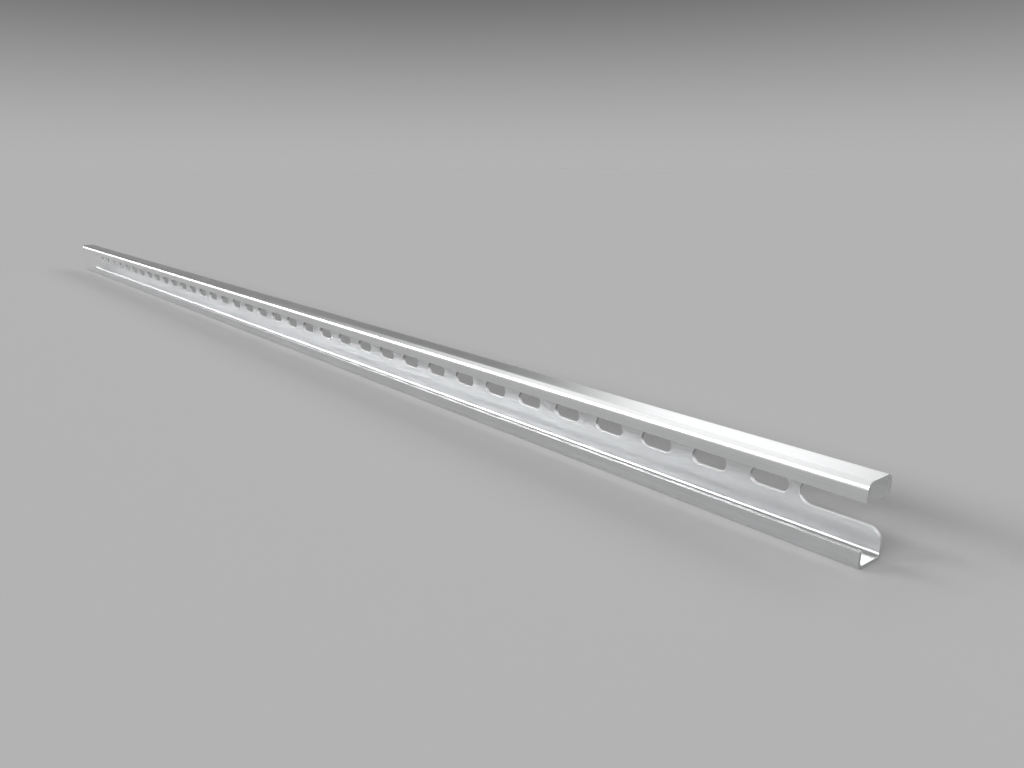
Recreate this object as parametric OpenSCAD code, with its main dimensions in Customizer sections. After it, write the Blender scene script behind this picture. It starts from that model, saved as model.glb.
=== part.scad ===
// Slotted C-section mounting rail, roll-formed from one strip of plated sheet steel.
// X runs along the rail, the mouth between the lips faces -Y, and the rail stands on its
// lower flange at Z = 0. The origin is under the middle of the rail.

/* [Section] */
// Height of the section, across both flanges
section_h = 30; // [26:0.5:50]
// Depth of the section, from the front of the lips to the back of the web
section_d = 15; // [12:0.5:40]
// Thickness of the sheet
sheet_t = 1.5; // [1:0.1:2.5]
// Inside radius of the four bends
bend_r = 1.5; // [0.5:0.1:2.5]
// Clear mouth between the edges of the two lips
mouth_w = 16; // [8:0.5:18]

/* [Length] */
// Length of the rail
rail_l = 955; // [155:25:2005]

/* [Slots] */
// Length of a closed slot, end to end
slot_l = 15; // [10:0.5:20]
// Width of a closed slot
slot_w = 6.2; // [4:0.1:9]
// Spacing of the closed slots, middle to middle
slot_pitch = 25; // [20:0.5:60]

/* [Open ends] */
// Width of the slot that opens at each end of the web
end_slot_w = 9; // [5:0.1:12]
// Depth of that slot, from the rail's end to its round bottom
end_slot_l = 28.5; // [12:0.5:40]
// Radius of the web's two corners beside that slot's mouth
end_corner_r = 5; // [1:0.1:6]
// Least width of web left between that slot and the nearest closed slot
end_bridge = 4; // [2:0.5:20]

/* [Hidden] */
$fn = 64;

// Zinc plate, a light neutral grey
zinc_colour = [0.74, 0.75, 0.76];
// How far a cutter reaches past the face that it leaves by
cut_past = 1;
// Outside radius of the bends
bend_outer_r = bend_r + sheet_t;
// Height of each lip, from the flange's outer face to the lip's cut edge
lip_h = (section_h - mouth_w) / 2;
// Height of the flat part of the web, between its bends
web_flat_h = section_h - 2 * bend_outer_r;
// Y of the web's back face
web_back_y = section_d / 2;
// Depth of the open slot's straight sides
end_straight_l = end_slot_l - end_slot_w / 2;
// The corner radius, no larger than the flat web beside the open slot
corner_r = min(end_corner_r, (web_flat_h - end_slot_w) / 2);
// Least distance from the rail's end to the middle of the nearest closed slot
slot_margin = end_slot_l + end_bridge + slot_l / 2;
// Closed slots that fit between the two margins; the row is centred on the rail
slot_count = 1 + floor((rail_l - 2 * slot_margin) / slot_pitch);
slot_row_l = (slot_count - 1) * slot_pitch;

// A rectangle from the origin with four round corners
module rounded_rect(w, h, r) {
    translate([r, 0]) square([w - 2 * r, h]);
    translate([0, r]) square([w, h - 2 * r]);
    for (x = [r, w - r], y = [r, h - r])
        translate([x, y]) circle(r = r);
}

// The rail's section in Y and Z: a closed box of sheet with the mouth cut out of its front
module c_section() {
    translate([-section_d / 2, 0])
        difference() {
            rounded_rect(section_d, section_h, bend_outer_r);
            translate([sheet_t, sheet_t])
                rounded_rect(section_d - 2 * sheet_t, section_h - 2 * sheet_t, bend_r);
            translate([-cut_past, lip_h])
                square([sheet_t + 2 * cut_past, mouth_w]);
        }
}

// Outline of a closed slot, with full-round ends
module slot_outline() {
    square([slot_l - slot_w, slot_w], center = true);
    for (side = [-1, 1])
        translate([side * (slot_l - slot_w) / 2, 0]) circle(d = slot_w);
}

// Outline of the slot that opens at the rail's end, which lies at x = 0:
// a full-round bottom, straight sides, and the round corners of its mouth
module end_slot_outline() {
    translate([-end_straight_l, 0]) circle(d = end_slot_w);
    translate([-end_straight_l, -end_slot_w / 2])
        square([end_straight_l + cut_past, end_slot_w]);
    for (side = [0, 1])
        mirror([0, side])
            translate([-corner_r, 0])
                difference() {
                    square([corner_r + cut_past, end_slot_w / 2 + corner_r]);
                    translate([0, end_slot_w / 2 + corner_r]) circle(r = corner_r);
                }
}

// Cuts an outline, drawn in X and Z about the web's middle line, through the web alone
module punch_web() {
    translate([0, web_back_y + cut_past, section_h / 2])
        rotate([90, 0, 0])
            linear_extrude(height = sheet_t + 2 * cut_past)
                children();
}

module rail() {
    color(zinc_colour)
        difference() {
            rotate([90, 0, 90])
                linear_extrude(height = rail_l, center = true)
                    c_section();
            for (i = [0 : slot_count - 1])
                translate([i * slot_pitch - slot_row_l / 2, 0, 0])
                    punch_web() slot_outline();
            for (end = [0, 1])
                mirror([end, 0, 0])
                    translate([rail_l / 2, 0, 0])
                        punch_web() end_slot_outline();
        }
}

rail();
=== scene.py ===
import math

import bpy
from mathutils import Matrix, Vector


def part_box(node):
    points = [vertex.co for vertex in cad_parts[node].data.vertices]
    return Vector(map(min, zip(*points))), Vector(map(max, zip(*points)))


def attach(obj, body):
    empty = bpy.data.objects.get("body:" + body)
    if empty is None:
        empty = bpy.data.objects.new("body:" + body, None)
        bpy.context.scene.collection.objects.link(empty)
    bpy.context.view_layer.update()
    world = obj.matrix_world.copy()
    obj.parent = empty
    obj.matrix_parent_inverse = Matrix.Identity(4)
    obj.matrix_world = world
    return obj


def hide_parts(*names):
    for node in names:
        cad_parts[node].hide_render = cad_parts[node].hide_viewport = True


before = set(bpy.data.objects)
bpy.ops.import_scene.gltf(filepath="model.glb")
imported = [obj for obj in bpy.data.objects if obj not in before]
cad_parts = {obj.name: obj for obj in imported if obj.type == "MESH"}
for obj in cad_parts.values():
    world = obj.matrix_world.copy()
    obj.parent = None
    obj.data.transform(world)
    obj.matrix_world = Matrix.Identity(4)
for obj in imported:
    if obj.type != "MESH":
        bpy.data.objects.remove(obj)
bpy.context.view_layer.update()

# The flat strip.
# The rail starts as one flat strip of zinc-plated sheet steel. A press punches a row of slots along
# its middle line, and cuts it to length with a slot that opens at each end, before any bend is made.
MM = 0.001
rail_low, rail_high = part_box("rail")
rail_length, section_depth, section_height = rail_high - rail_low
sheet = 1.5 * MM
bend_inside = 1.5 * MM
mouth = 16 * MM
slot_length = 15 * MM
slot_width = 6.2 * MM
slot_pitch = 25 * MM
slot_count = 36
end_slot_width = 9 * MM
end_slot_depth = 28.5 * MM
end_corner = 5 * MM
arc_steps = 10
weld_distance = 0.005 * MM

# What each part of the section takes up on the flat strip; a bend is measured along the sheet's middle
bend_outside = bend_inside + sheet
bend_strip = (bend_inside + sheet / 2) * math.pi / 2
web_flat = section_height - 2 * bend_outside
flange_flat = section_depth - 2 * bend_outside
lip_flat = (section_height - mouth) / 2 - bend_outside

# From the strip's end to the first repeated cell, and to the middle of the last slot
end_cell = (rail_length - (slot_count - 2) * slot_pitch) / 2
end_margin = (rail_length - (slot_count - 1) * slot_pitch) / 2

SIZE, COUNT, SHAPE = "NodeSocketFloat", "NodeSocketInt", "NodeSocketGeometry"


def new_tree(kind, name, inputs, outputs):
    """A node tree with named sockets, and the nodes that stand for its two sides."""
    tree = bpy.data.node_groups.new(name, kind)
    for label, socket_type in inputs:
        tree.interface.new_socket(label, in_out="INPUT", socket_type=socket_type)
    for label, socket_type in outputs:
        tree.interface.new_socket(label, in_out="OUTPUT", socket_type=socket_type)
    given = tree.nodes.new("NodeGroupInput").outputs
    result = tree.nodes.new("NodeGroupOutput").inputs
    return tree, given, result


def plug(tree, socket, value):
    """Set a socket to a value, or link it to another node."""
    if isinstance(value, bpy.types.NodeSocket):
        tree.links.new(value, socket)
    else:
        socket.default_value = value


def add(tree, kind, inputs=None, **settings):
    """Add a node, set its own settings, then fill its inputs; a list fills one input several times."""
    node = tree.nodes.new(kind)
    for name, value in settings.items():
        setattr(node, name, value)
    for key, value in (inputs or {}).items():
        for item in value if isinstance(value, list) else [value]:
            plug(tree, node.inputs[key], item)
    return node


def made(tree, kind, inputs=None, **settings):
    """Add a node, and give its first output."""
    return add(tree, kind, inputs, **settings).outputs[0]


def calc(tree, operation, *values):
    """One step of arithmetic."""
    return made(tree, "ShaderNodeMath", dict(enumerate(values)), operation=operation)


def vector(tree, x=0.0, y=0.0, z=0.0):
    """A vector from its three parts."""
    return made(tree, "ShaderNodeCombineXYZ", {"X": x, "Y": y, "Z": z})


def split(tree, whole):
    """The three parts of a vector."""
    return add(tree, "ShaderNodeSeparateXYZ", {"Vector": whole}).outputs


def moved(tree, geometry, **change):
    """The geometry moved by a Translation or turned by a Rotation."""
    return made(tree, "GeometryNodeTransform", {"Geometry": geometry, **change})


def joined(tree, *geometries):
    """Several geometries as one."""
    return made(tree, "GeometryNodeJoinGeometry", {"Geometry": list(reversed(geometries))})


def welded(tree, geometry):
    """The geometry with the points that meet made one."""
    return made(tree, "GeometryNodeMergeByDistance", {"Geometry": geometry, "Distance": weld_distance})


def box_outline(tree, width, height):
    """A rectangle round the origin."""
    return made(tree, "GeometryNodeCurvePrimitiveQuadrilateral", {"Width": width, "Height": height})


def filleted(tree, curve, radius, steps):
    """An outline with round corners."""
    rounding = {"Curve": curve, "Radius": radius, "Count": steps, "Limit Radius": True}
    return made(tree, "GeometryNodeFilletCurve", rounding, mode="POLY")


def filled(tree, *curves):
    """The flat face between an outline and the holes in it."""
    return made(tree, "GeometryNodeFillCurve", {"Curve": joined(tree, *curves)}, mode="NGONS")


def pick(tree, data_type, index, items):
    """The item of a list that an index names."""
    switch = add(tree, "GeometryNodeIndexSwitch", {"Index": index}, data_type=data_type)
    while len(switch.index_switch_items) < len(items):
        switch.index_switch_items.new()
    for place, item in enumerate(items, start=1):
        plug(tree, switch.inputs[place], item)
    return switch.outputs[0]


# Above and below the web, each cell of the strip carries on into a bend, a flange, a bend and a lip
sides_tree, given, result = new_tree(
    "GeometryNodeTree",
    "strip beside the web",
    [("Cell Length", SIZE), ("Web Flat", SIZE), ("Bend Strip", SIZE), ("Flange Flat", SIZE)]
    + [("Lip Flat", SIZE), ("Bend Steps", COUNT)],
    [("Mesh", SHAPE)],
)
start = calc(sides_tree, "MULTIPLY", given["Web Flat"], 0.5)
bend_rows = calc(sides_tree, "ADD", given["Bend Steps"], 1)
lengths = [given["Bend Strip"], given["Flange Flat"], given["Bend Strip"], given["Lip Flat"]]
bands = []
for length, rows in zip(lengths, [bend_rows, 2, bend_rows, 2]):
    grid = {"Size X": given["Cell Length"], "Size Y": length, "Vertices X": 2, "Vertices Y": rows}
    band = made(sides_tree, "GeometryNodeMeshGrid", grid)
    middle = calc(sides_tree, "MULTIPLY_ADD", length, 0.5, start)
    bands.append(moved(sides_tree, band, Translation=vector(sides_tree, y=middle)))
    start = calc(sides_tree, "ADD", start, length)
upper = joined(sides_tree, *bands)
lower = moved(sides_tree, upper, Rotation=(0, 0, math.pi))
plug(sides_tree, result["Mesh"], joined(sides_tree, upper, lower))

strip_inputs = [
    ("Length", rail_length),
    ("Web Flat", web_flat),
    ("Bend Strip", bend_strip),
    ("Flange Flat", flange_flat),
    ("Lip Flat", lip_flat),
    ("Slot Length", slot_length),
    ("Slot Width", slot_width),
    ("Pitch", slot_pitch),
    ("End Cell", end_cell),
    ("End Margin", end_margin),
    ("End Slot Width", end_slot_width),
    ("End Slot Depth", end_slot_depth),
    ("End Corner", end_corner),
]
strip_counts = [("Slots", slot_count), ("Arc Steps", arc_steps)]
strip_tree, given, result = new_tree(
    "GeometryNodeTree",
    "punched strip",
    [(name, SIZE) for name, _ in strip_inputs] + [(name, COUNT) for name, _ in strip_counts],
    [("Mesh", SHAPE)],
)
slot_curve = filleted(
    strip_tree,
    box_outline(strip_tree, given["Slot Length"], given["Slot Width"]),
    calc(strip_tree, "MULTIPLY", given["Slot Width"], 0.5),
    given["Arc Steps"],
)


def beside(sizes, cell_length):
    """The strip above and below one cell of the web."""
    shared = {name: sizes[name] for name in ("Web Flat", "Bend Strip", "Flange Flat", "Lip Flat")}
    shared.update({"Cell Length": cell_length, "Bend Steps": sizes["Arc Steps"]})
    return made(strip_tree, "GeometryNodeGroup", shared, node_tree=sides_tree)


# One pitch of the strip with its slot, repeated along the rail
cell_curve = box_outline(strip_tree, given["Pitch"], given["Web Flat"])
cell = joined(strip_tree, filled(strip_tree, cell_curve, slot_curve), beside(given, given["Pitch"]))
inner_slots = calc(strip_tree, "SUBTRACT", given["Slots"], 2)
row_length = calc(strip_tree, "MULTIPLY", calc(strip_tree, "SUBTRACT", inner_slots, 1), given["Pitch"])
row = {
    "Count": inner_slots,
    "Start Location": vector(strip_tree, calc(strip_tree, "MULTIPLY", row_length, -0.5)),
    "Offset": vector(strip_tree, given["Pitch"]),
}
row_points = made(strip_tree, "GeometryNodeMeshLine", row)
cell_row = made(strip_tree, "GeometryNodeInstanceOnPoints", {"Points": row_points, "Instance": cell})

# The end of the strip: its last closed slot, and the slot that opens at x = 0 between round corners
half_web = calc(strip_tree, "MULTIPLY", given["Web Flat"], 0.5)
half_slot = calc(strip_tree, "MULTIPLY", given["End Slot Width"], 0.5)
back = calc(strip_tree, "MULTIPLY", given["End Cell"], -1)
bottom = calc(strip_tree, "MULTIPLY", given["End Slot Depth"], -1)
half_outline = [(back, half_web, 0.0), (0.0, half_web, 0.0)]
half_outline += [(0.0, half_slot, given["End Corner"]), (bottom, half_slot, half_slot)]
outline = half_outline + [
    (x, calc(strip_tree, "MULTIPLY", y, -1), radius) for x, y, radius in reversed(half_outline)
]
index = made(strip_tree, "GeometryNodeInputIndex")
corner_places = [vector(strip_tree, x, y) for x, y, _ in outline]
corner_radii = [radius for _, _, radius in outline]
polygon = made(strip_tree, "GeometryNodeCurvePrimitiveCircle", {"Resolution": len(outline)})
placing = {"Geometry": polygon, "Position": pick(strip_tree, "VECTOR", index, corner_places)}
end_curve = filleted(
    strip_tree,
    made(strip_tree, "GeometryNodeSetPosition", placing),
    pick(strip_tree, "FLOAT", index, corner_radii),
    given["Arc Steps"],
)
last_slot_x = calc(strip_tree, "MULTIPLY", given["End Margin"], -1)
last_slot = moved(strip_tree, slot_curve, Translation=vector(strip_tree, last_slot_x))
end_middle = vector(strip_tree, calc(strip_tree, "MULTIPLY", given["End Cell"], -0.5))
end_sides = moved(strip_tree, beside(given, given["End Cell"]), Translation=end_middle)
end_piece = joined(strip_tree, filled(strip_tree, end_curve, last_slot), end_sides)
half_length = calc(strip_tree, "MULTIPLY", given["Length"], 0.5)
right_end = moved(strip_tree, end_piece, Translation=vector(strip_tree, half_length))
left_end = moved(strip_tree, right_end, Rotation=(0, 0, math.pi))

flat_strip = joined(strip_tree, cell_row, right_end, left_end)
flat_strip = made(strip_tree, "GeometryNodeRealizeInstances", {"Geometry": flat_strip})
plug(strip_tree, result["Mesh"], welded(strip_tree, flat_strip))

# The rolled rail.
# A roll former bends the punched strip along four lines, web to flange and flange to lip, into a C.
# The sheet stays as thick as it was, and its sheared edges keep a small round from the cutting tools.
edge_round = 0.15 * MM
edge_steps = 2
sharp_turn = math.radians(60)

# One bend: where a point ends up, ahead of the bend's centre and beside it, by its place on the strip
fold_tree, given, result = new_tree(
    "GeometryNodeTree",
    "fold",
    [("Along", SIZE), ("From Centre", SIZE), ("Bend Strip", SIZE)],
    [("Ahead", SIZE), ("Beside", SIZE)],
)
share = calc(fold_tree, "DIVIDE", given["Along"], given["Bend Strip"])
turned = made(fold_tree, "ShaderNodeClamp", {"Value": share})
angle = calc(fold_tree, "MULTIPLY", turned, math.pi / 2)
before = calc(fold_tree, "MINIMUM", given["Along"], 0)
past = calc(fold_tree, "MAXIMUM", calc(fold_tree, "SUBTRACT", given["Along"], given["Bend Strip"]), 0)
ahead = calc(fold_tree, "MULTIPLY_ADD", given["From Centre"], calc(fold_tree, "SINE", angle), before)
across = calc(fold_tree, "MULTIPLY", given["From Centre"], calc(fold_tree, "COSINE", angle))
plug(fold_tree, result["Ahead"], ahead)
plug(fold_tree, result["Beside"], calc(fold_tree, "SUBTRACT", across, past))

rail_inputs = strip_inputs + [
    ("Section Height", section_height),
    ("Sheet", sheet),
    ("Bend Inside", bend_inside),
]
rail_tree, given, result = new_tree(
    "GeometryNodeTree",
    "rolled rail",
    [(name, SIZE) for name, _ in rail_inputs]
    + [(name, COUNT) for name, _ in strip_counts]
    + [("Finish", "NodeSocketMaterial")],
    [("Mesh", SHAPE)],
)


def stored(geometry, name, value, **settings):
    """The rail's mesh with a value kept on it under a name."""
    keeping = {"Geometry": geometry, "Name": name, "Value": value}
    return made(rail_tree, "GeometryNodeStoreNamedAttribute", keeping, **settings)


# The punched strip gets its thickness, and marks for its cut faces, its sharp edges and its flat places
punching = {name: given[name] for name, _ in strip_inputs + strip_counts}
inner_face = made(rail_tree, "GeometryNodeGroup", punching, node_tree=strip_tree)
raising = {"Mesh": inner_face, "Offset": vector(rail_tree, z=given["Sheet"]), "Individual": False}
raised = add(rail_tree, "GeometryNodeExtrudeMesh", raising, mode="FACES").outputs
raised_sheet = stored(raised["Mesh"], "cut_face", raised["Side"], domain="FACE")
back_face = made(rail_tree, "GeometryNodeFlipFaces", {"Mesh": inner_face})
sheet_solid = welded(rail_tree, joined(rail_tree, raised_sheet, back_face))
edge_angle = add(rail_tree, "GeometryNodeInputMeshEdgeAngle").outputs["Unsigned Angle"]
sharp = calc(rail_tree, "GREATER_THAN", edge_angle, sharp_turn)
sheet_solid = stored(sheet_solid, "bevel_weight_edge", sharp, domain="EDGE")
flat_place = made(rail_tree, "GeometryNodeInputPosition")
sheet_solid = stored(sheet_solid, "flat_place", flat_place, domain="POINT", data_type="FLOAT_VECTOR")

# It is then folded from web to flange, and from flange to lip
place = split(rail_tree, flat_place)
half_web = calc(rail_tree, "MULTIPLY", given["Web Flat"], 0.5)
half_flange = calc(rail_tree, "MULTIPLY", given["Flange Flat"], 0.5)
first_fold = {
    "Along": calc(rail_tree, "SUBTRACT", calc(rail_tree, "ABSOLUTE", place["Y"]), half_web),
    "From Centre": calc(rail_tree, "ADD", place["Z"], given["Bend Inside"]),
    "Bend Strip": given["Bend Strip"],
}
first_fold = add(rail_tree, "GeometryNodeGroup", first_fold, node_tree=fold_tree).outputs
flange_place = calc(rail_tree, "ADD", first_fold["Beside"], half_flange)
second_fold = {
    "Along": calc(rail_tree, "SUBTRACT", calc(rail_tree, "MULTIPLY", half_flange, -1), flange_place),
    "From Centre": first_fold["Ahead"],
    "Bend Strip": given["Bend Strip"],
}
second_fold = add(rail_tree, "GeometryNodeGroup", second_fold, node_tree=fold_tree).outputs
depth_place = calc(rail_tree, "ADD", half_flange, second_fold["Ahead"])
height_place = calc(rail_tree, "ADD", half_web, second_fold["Beside"])
height_place = calc(rail_tree, "MULTIPLY", height_place, calc(rail_tree, "SIGN", place["Y"]))
rolled_place = vector(
    rail_tree,
    place["X"],
    calc(rail_tree, "MULTIPLY", depth_place, -1),
    calc(rail_tree, "MULTIPLY_ADD", given["Section Height"], 0.5, height_place),
)
rolled = made(rail_tree, "GeometryNodeSetPosition", {"Geometry": sheet_solid, "Position": rolled_place})
rolled = made(rail_tree, "GeometryNodeFlipFaces", {"Mesh": rolled})
rolled = made(rail_tree, "GeometryNodeSetShadeSmooth", {"Geometry": rolled})
rolled = made(rail_tree, "GeometryNodeRealizeInstances", {"Geometry": rolled})
rolled = made(rail_tree, "GeometryNodeSetMaterial", {"Geometry": rolled, "Material": given["Finish"]})
plug(rail_tree, result["Mesh"], rolled)

# Zinc plate: the marks are laid out on the flat strip, so they follow the sheet round its bends
zinc_light = (0.79, 0.795, 0.80, 1)
zinc_dark = (0.63, 0.635, 0.64, 1)
zinc_cut = (0.58, 0.58, 0.585, 1)

# Each kind of mark: its length along the rail, its width across, and its noise's detail
rolling_line = (300 * MM, 0.5 * MM, 2)
rolling_band = (900 * MM, 3.5 * MM, 2)
bloom_patch = (34 * MM, 16 * MM, 3)
sheet_wave = (110 * MM, 26 * MM, 0)
craze_crack = (2.5 * MM, 0.25 * MM, 2)
shear_mark = (0.16 * MM, 0.16 * MM, 1)
mark_depth = 0.1 * MM
noise_roughness = 0.55
noise_low, noise_high = 0.22, 0.78

# How much the marks change the tone and the roughness, and how high they stand
bloom_share = 0.45
line_share = 0.5
craze_darkening = 0.35
face_roughness = 0.28
bloom_roughening = 0.02
line_roughening = 0.015
craze_roughening = 0.06
cut_roughness = 0.4
torn_roughening = 0.08
line_height = 0.003 * MM
torn_to_line = 0.4
wave_height = 0.03 * MM
bend_fade = 0.4 * MM

# Shares of the sheet's thickness above which a cut face is smooth, and below which it is torn
smooth_above, torn_below = 0.7, 0.58

grain_tree, given, result = new_tree(
    "ShaderNodeTree",
    "strip grain",
    [("Place", "NodeSocketVector"), ("Grain Length", SIZE), ("Grain Width", SIZE), ("Detail", SIZE)],
    [("Grain", SIZE)],
)
spot = split(grain_tree, given["Place"])
spot = vector(
    grain_tree,
    calc(grain_tree, "DIVIDE", spot["X"], given["Grain Length"]),
    calc(grain_tree, "DIVIDE", spot["Y"], given["Grain Width"]),
    calc(grain_tree, "DIVIDE", spot["Z"], mark_depth),
)
clouds = {"Vector": spot, "Scale": 1, "Detail": given["Detail"], "Roughness": noise_roughness}
clouds = made(grain_tree, "ShaderNodeTexNoise", clouds)
spread = {"Value": clouds, "From Min": noise_low, "From Max": noise_high}
plug(grain_tree, result["Grain"], made(grain_tree, "ShaderNodeMapRange", spread))

zinc = bpy.data.materials.new("satin_zinc")
zinc.use_nodes = True
zinc_tree = zinc.node_tree
shader = zinc_tree.nodes["Principled BSDF"]
flat_place = add(zinc_tree, "ShaderNodeAttribute", attribute_name="flat_place").outputs["Vector"]
cut_face = add(zinc_tree, "ShaderNodeAttribute", attribute_name="cut_face").outputs["Fac"]


def grain(place, length, width, detail):
    """One kind of mark, from nought to one."""
    sizes = {"Place": place, "Grain Length": length, "Grain Width": width, "Detail": detail}
    return made(zinc_tree, "ShaderNodeGroup", sizes, node_tree=grain_tree)


def mixed(kind, share, first, second):
    """A blend of two numbers or two colours, which have their own sockets on the node."""
    *inputs, output = {"FLOAT": (0, 2, 3, 0), "RGBA": (0, 6, 7, 2)}[kind]
    blend = dict(zip(inputs, (share, first, second)))
    return add(zinc_tree, "ShaderNodeMix", blend, data_type=kind).outputs[output]


def eased(tree, value, low, high):
    """Nought at the low limit and one at the high limit, with a smooth rise between them."""
    span = {"Value": value, "From Min": low, "From Max": high}
    return made(tree, "ShaderNodeMapRange", span, interpolation_type="SMOOTHSTEP")


def between(tree, value, low, high, edge):
    """One between two limits, nought outside them, with soft edges."""
    rise = eased(tree, value, low - edge, low + edge)
    fall = eased(tree, value, high + edge, high - edge)
    return calc(tree, "MULTIPLY", rise, fall)


# Long lines from the mill's rolls, fainter bands, cloudy patches of zinc and slow waves in the sheet
rolling_lines = grain(flat_place, *rolling_line)
rolling_bands = grain(flat_place, *rolling_band)
zinc_bloom = grain(flat_place, *bloom_patch)
waves = grain(flat_place, *sheet_wave)

# On the outside of each bend the zinc is stretched, and crazed along the rail
strip_place = split(zinc_tree, flat_place)
across = calc(zinc_tree, "ABSOLUTE", strip_place["Y"])
through = calc(zinc_tree, "DIVIDE", strip_place["Z"], sheet)
bend_starts = (web_flat / 2, web_flat / 2 + bend_strip + flange_flat)
bends = [between(zinc_tree, across, begin, begin + bend_strip, bend_fade) for begin in bend_starts]
bent = calc(zinc_tree, "ADD", *bends)
crazing = calc(zinc_tree, "MULTIPLY", grain(flat_place, *craze_crack), bent)
crazing = calc(zinc_tree, "MULTIPLY", crazing, through)

# A cut face is smooth where the punch entered and torn below that, with marks across the sheet
flat_only = {0: flat_place, 1: (1, 1, 0)}
edge_on = made(zinc_tree, "ShaderNodeVectorMath", flat_only, operation="MULTIPLY")
torn = eased(zinc_tree, through, smooth_above, torn_below)
torn_marks = calc(zinc_tree, "MULTIPLY", grain(edge_on, *shear_mark), torn)

rolling_tone = mixed("FLOAT", line_share, rolling_bands, rolling_lines)
tone = mixed("FLOAT", bloom_share, rolling_tone, zinc_bloom)
tone = calc(zinc_tree, "MULTIPLY_ADD", crazing, -craze_darkening, tone)
face_colour = mixed("RGBA", tone, zinc_dark, zinc_light)
cut_colour = mixed("RGBA", torn_marks, zinc_dark, zinc_cut)
plug(zinc_tree, shader.inputs["Base Color"], mixed("RGBA", cut_face, face_colour, cut_colour))

face_rough = calc(zinc_tree, "MULTIPLY_ADD", zinc_bloom, bloom_roughening, face_roughness)
face_rough = calc(zinc_tree, "MULTIPLY_ADD", rolling_lines, line_roughening, face_rough)
face_rough = calc(zinc_tree, "MULTIPLY_ADD", crazing, craze_roughening, face_rough)
cut_rough = calc(zinc_tree, "MULTIPLY_ADD", torn_marks, torn_roughening, cut_roughness)
plug(zinc_tree, shader.inputs["Roughness"], mixed("FLOAT", cut_face, face_rough, cut_rough))

torn_relief = calc(zinc_tree, "MULTIPLY", torn_marks, torn_to_line)
relief = mixed("FLOAT", cut_face, rolling_lines, torn_relief)
fine = made(zinc_tree, "ShaderNodeBump", {"Height": relief, "Strength": 1, "Distance": line_height})
broad = {"Height": waves, "Strength": 1, "Distance": wave_height, "Normal": fine}
plug(zinc_tree, shader.inputs["Normal"], made(zinc_tree, "ShaderNodeBump", broad))
plug(zinc_tree, shader.inputs["Metallic"], 1)

# The rolls shape the rail, its sheared edges are rounded, and the result becomes a plain mesh
rail = bpy.data.objects.new("rolled_rail", bpy.data.meshes.new("rolled_rail"))
bpy.context.scene.collection.objects.link(rail)
rolls = rail.modifiers.new("rolls", "NODES")
rolls.node_group = rail_tree
identifiers = {item.name: item.identifier for item in rail_tree.interface.items_tree}
for name, value in rail_inputs + strip_counts + [("Finish", zinc)]:
    rolls[identifiers[name]] = value
shear = rail.modifiers.new("shear", "BEVEL")
shear.limit_method = "WEIGHT"
shear.width = edge_round
shear.segments = edge_steps
rail.modifiers.new("even", "WEIGHTED_NORMAL")
graph = bpy.context.evaluated_depsgraph_get()
rail_mesh = bpy.data.meshes.new_from_object(
    rail.evaluated_get(graph), preserve_all_data_layers=True, depsgraph=graph
)
rail.modifiers.clear()
rail.data = rail_mesh
rail_mesh.name = "rolled_rail"
while rail_mesh.materials[0] is None:
    rail_mesh.materials.pop(index=0)
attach(rail, "root")
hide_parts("rail")

# The studio.
# The rail stands on a wide plain floor of pale matt paper, under a dim dome that is pale at the horizon.
# Soft panels, painted far off on the dome, light it: two low in front, two behind it and one overhead.
floor_half = 60.0
floor_colour = (0.46, 0.46, 0.46, 1)

paper = bpy.data.materials.new("pale_paper")
paper.use_nodes = True
paper_shader = paper.node_tree.nodes["Principled BSDF"]
paper_shader.inputs["Base Color"].default_value = floor_colour
paper_shader.inputs["Roughness"].default_value = 1
paper_shader.inputs["Specular IOR Level"].default_value = 0

corners = [(-floor_half, -floor_half, 0), (floor_half, -floor_half, 0)]
corners += [(floor_half, floor_half, 0), (-floor_half, floor_half, 0)]
floor_mesh = bpy.data.meshes.new("studio_floor")
floor_mesh.from_pydata(corners, [], [(0, 1, 2, 3)])
floor_mesh.materials.append(paper)
floor = bpy.data.objects.new("studio_floor", floor_mesh)
bpy.context.scene.collection.objects.link(floor)

# Levels of the backdrop at the horizon, above it and overhead, and of the fill from all sides
horizon_level = 0.451
dusk_level = 0.08
zenith_level = 0.5
fill_level = 0.03

# Heights on the dome, as sines, where the dusk is reached and where the zenith's level comes in
dusk_height = 0.27
zenith_from, zenith_full = 0.5, 0.9

# Each panel's lower and upper limit round the rail's own line, as sines, and its soft edge
front_reach = (0.3, 0.49, 0.05)
rear_reach = (0.17, 0.74, 0.07)
key_reach = (0.42, 0.75, 0.07)
top_from, top_full = 0.6, 0.8

# Each panel's left and right limit along the rail, as the X of a direction, and its level
left_panel = (-0.93, -0.47, 22.0)
right_panel = (-0.26, 0.9, 14.5)
rear_panel = (-0.63, -0.34, 1.4)
key_panel = (-0.2, 0.9, 2.35)
top_panel = (-0.8, -0.34, 1.0)
panel_edge = 0.05

dome = bpy.data.worlds.new("studio_dome")
dome.use_nodes = True
dome_tree = dome.node_tree
way = split(dome_tree, add(dome_tree, "ShaderNodeTexCoord").outputs["Generated"])

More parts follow.
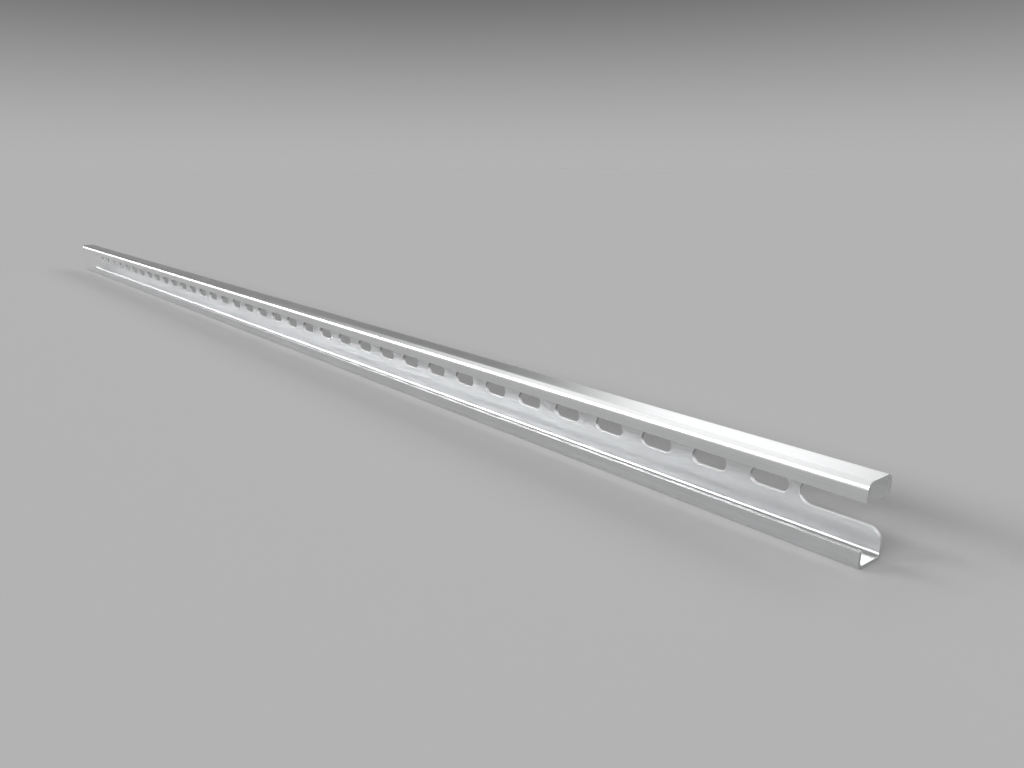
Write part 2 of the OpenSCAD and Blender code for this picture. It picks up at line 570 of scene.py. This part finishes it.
# How far a direction is turned up round the rail's own line, as a sine
round_rail = calc(dome_tree, "SUBTRACT", 1, calc(dome_tree, "MULTIPLY", way["X"], way["X"]))
turned_up = calc(dome_tree, "DIVIDE", way["Z"], calc(dome_tree, "SQRT", round_rail))
in_front = calc(dome_tree, "LESS_THAN", way["Y"], 0)
behind = calc(dome_tree, "SUBTRACT", 1, in_front)
front_height = calc(dome_tree, "MULTIPLY", between(dome_tree, turned_up, *front_reach), in_front)
rear_height = calc(dome_tree, "MULTIPLY", between(dome_tree, turned_up, *rear_reach), behind)
key_height = calc(dome_tree, "MULTIPLY", between(dome_tree, turned_up, *key_reach), behind)
top_height = eased(dome_tree, turned_up, top_from, top_full)
panels = 0.0
for height, (left, right, level) in (
    (front_height, left_panel),
    (front_height, right_panel),
    (rear_height, rear_panel),
    (key_height, key_panel),
    (top_height, top_panel),
):
    panel = calc(dome_tree, "MULTIPLY", between(dome_tree, way["X"], left, right, panel_edge), height)
    panels = calc(dome_tree, "MULTIPLY_ADD", panel, level, panels)

# The camera and the metal see the backdrop; the panels light everything, but the camera sees none
rays = add(dome_tree, "ShaderNodeLightPath").outputs
shown = calc(dome_tree, "ADD", rays["Is Camera Ray"], rays["Is Glossy Ray"])
shown = calc(dome_tree, "ADD", shown, rays["Is Transmission Ray"])
backdrop = eased(dome_tree, way["Z"], dusk_height, 0)
backdrop = calc(dome_tree, "MULTIPLY_ADD", backdrop, horizon_level - dusk_level, dusk_level)
overhead = eased(dome_tree, way["Z"], zenith_from, zenith_full)
backdrop = calc(dome_tree, "MULTIPLY_ADD", overhead, zenith_level - dusk_level, backdrop)
shown_level = calc(dome_tree, "MULTIPLY", calc(dome_tree, "SUBTRACT", backdrop, fill_level), shown)
unseen = calc(dome_tree, "SUBTRACT", 1, rays["Is Camera Ray"])
dome_level = calc(dome_tree, "ADD", calc(dome_tree, "MULTIPLY", panels, unseen), fill_level)
dome_level = calc(dome_tree, "ADD", dome_level, shown_level)
background = dome_tree.nodes["Background"].inputs
plug(dome_tree, background["Strength"], dome_level)
plug(dome_tree, background["Color"], (1, 1, 1, 1))
bpy.context.scene.world = dome

# The camera.
# It stands in front of the rail's right end and a little above it, and looks along the rail to the left.
# Its axis meets the picture to the left of the middle and above it, so the lens is shifted by that much.
camera_place = (584.2 * MM, -250.5 * MM, 122.94 * MM)
camera_azimuth = math.radians(53.94)
camera_down = math.radians(14.26)
photo_width = 1024
photo_middle = (511.5, 383.5)
axis_pixels = (429.7, 371.8)
focal_pixels = 806.2
film_width = 36
nearest_seen = 10 * MM

camera_data = bpy.data.cameras.new("camera")
camera_data.sensor_fit = "HORIZONTAL"
camera_data.sensor_width = film_width
camera_data.lens = focal_pixels / photo_width * film_width
camera_data.shift_x = (photo_middle[0] - axis_pixels[0]) / photo_width
camera_data.shift_y = (axis_pixels[1] - photo_middle[1]) / photo_width
camera_data.clip_start = nearest_seen
camera = bpy.data.objects.new("camera", camera_data)
camera.location = camera_place
camera.rotation_euler = (math.pi / 2 - camera_down, 0, camera_azimuth)
bpy.context.scene.collection.objects.link(camera)
bpy.context.scene.camera = camera
bpy.context.scene.view_settings.view_transform = "Standard"
